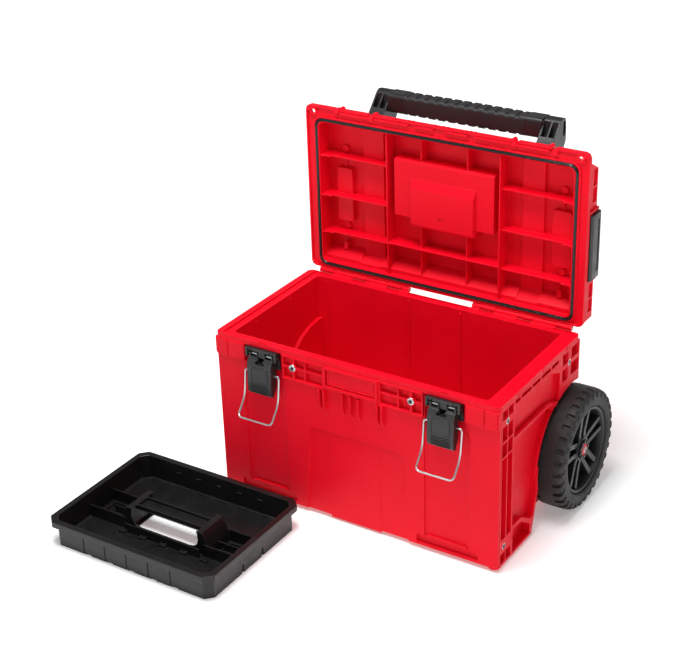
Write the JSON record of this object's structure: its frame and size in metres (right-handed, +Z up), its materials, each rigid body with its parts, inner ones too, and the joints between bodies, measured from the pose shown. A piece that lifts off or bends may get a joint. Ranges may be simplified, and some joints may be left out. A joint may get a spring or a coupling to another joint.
{
  "type": "rolling tool chest",
  "caption": "Rolling hard-plastic tool chest with hinged lid, wire-bail latches, fold-down lid handle, large rear wheels on one axle and a lift-out parts tray beside it.",
  "frame": {"origin": "on the floor, under the middle of the whole set's box (chest with open lid, and tray)", "axes": "+Z up, +Y from the latches to the hinge side, +X to the right seen from the latches"},
  "size_m": [0.7168, 0.691, 0.626],
  "materials": {
    "red_shell": "moulded polypropylene, satin with fine grain",
    "black_fittings": "moulded nylon, fine grain",
    "grip_rubber": "soft-touch ribbed sleeve",
    "gasket_rubber": "smooth extruded seal",
    "zinc_steel": "zinc plated",
    "tyre_rubber": "moulded tread",
    "wheel_plastic": "satin moulded",
    "tray_plastic": "satin moulded"
  },
  "bodies": {
    "chest": {"tub": "red_shell", "front_band": "red_shell", "name_plate": "red_shell", "side_panel_right": "red_shell", "side_panel_left": "red_shell", "front_foot_right": "red_shell", "front_foot_left": "red_shell", "front_screw_right": "zinc_steel", "front_screw_left": "zinc_steel", "side_screw_front_upper_right": "zinc_steel", "side_screw_front_upper_left": "zinc_steel", "side_screw_rear_upper_right": "zinc_steel", "side_screw_rear_upper_left": "zinc_steel", "side_screw_front_lower_right": "zinc_steel", "side_screw_front_lower_left": "zinc_steel", "hinge_pin_right": "zinc_steel", "hinge_pin_left": "zinc_steel", "latch_base_right": "black_fittings", "latch_base_left": "black_fittings", "latch_pin_right": "zinc_steel", "latch_pin_left": "zinc_steel", "axle": "zinc_steel", "axle_bracket_right": "black_fittings", "axle_bracket_left": "black_fittings", "axle_nut_right": "zinc_steel", "axle_nut_left": "zinc_steel"},
    "lid": {"lid_shell": "red_shell", "lid_gasket": "gasket_rubber", "handle_pin_right": "zinc_steel", "handle_pin_left": "zinc_steel"},
    "handle": {"handle_frame": "black_fittings", "handle_grip": "grip_rubber"},
    "latch_lever_right": {"latch_lever_right": "black_fittings"},
    "latch_bail_right": {"latch_bail_right": "zinc_steel"},
    "wheel_right": {"tyre_right": "tyre_rubber", "wheel_rim_right": "wheel_plastic", "hub_cap_right": "wheel_plastic"},
    "side_clip_right": {"side_clip_right": "black_fittings"},
    "latch_lever_left": {"latch_lever_left": "black_fittings"},
    "latch_bail_left": {"latch_bail_left": "zinc_steel"},
    "wheel_left": {"tyre_left": "tyre_rubber", "wheel_rim_left": "wheel_plastic", "hub_cap_left": "wheel_plastic"},
    "side_clip_left": {"side_clip_left": "black_fittings"},
    "tray": {"tray": "tray_plastic"}
  },
  "joints": [
    {"name": "lid_hinge", "type": "hinge", "parent": "chest", "child": "lid", "pos_m": [0.0576, 0.239, 0.3045], "axis": [1, 0, 0], "range_deg": [0, 90]},
    {"name": "handle_fold", "type": "hinge", "parent": "lid", "child": "handle", "pos_m": [0.0576, 0.2925, 0.558], "axis": [1, 0, 0], "range_deg": [-125, 0]},
    {"name": "latch_lever_right_lift", "type": "hinge", "parent": "chest", "child": "latch_lever_right", "pos_m": [0.2276, -0.0555, 0.2825], "axis": [-1, 0, 0], "range_deg": [0, 95]},
    {"name": "latch_bail_right_swing", "type": "hinge", "parent": "latch_lever_right", "child": "latch_bail_right", "pos_m": [0.2276, -0.0585, 0.251], "axis": [1, 0, 0], "range_deg": [-160, 0]},
    {"name": "wheel_right_spin", "type": "hinge", "parent": "chest", "child": "wheel_right", "pos_m": [0.3276, 0.2041, 0.1053], "axis": [1, 0, 0], "continuous": true},
    {"name": "side_clip_right_swing", "type": "hinge", "parent": "lid", "child": "side_clip_right", "pos_m": [0.3226, 0.2535, 0.4455], "axis": [0, 0, -1], "range_deg": [0, 25]},
    {"name": "latch_lever_left_lift", "type": "hinge", "parent": "chest", "child": "latch_lever_left", "pos_m": [-0.1124, -0.0555, 0.2825], "axis": [-1, 0, 0], "range_deg": [0, 95]},
    {"name": "latch_bail_left_swing", "type": "hinge", "parent": "latch_lever_left", "child": "latch_bail_left", "pos_m": [-0.1124, -0.0585, 0.251], "axis": [1, 0, 0], "range_deg": [-160, 0]},
    {"name": "wheel_left_spin", "type": "hinge", "parent": "chest", "child": "wheel_left", "pos_m": [-0.2124, 0.2041, 0.1053], "axis": [1, 0, 0], "continuous": true},
    {"name": "side_clip_left_swing", "type": "hinge", "parent": "lid", "child": "side_clip_left", "pos_m": [-0.2074, 0.2535, 0.4455], "axis": [0, 0, 1], "range_deg": [0, 25]},
    {"name": "tray_lift", "type": "slide", "parent": "chest", "child": "tray", "axis": [0, 0, 1], "range_m": [0, 0.45]}
  ]
}
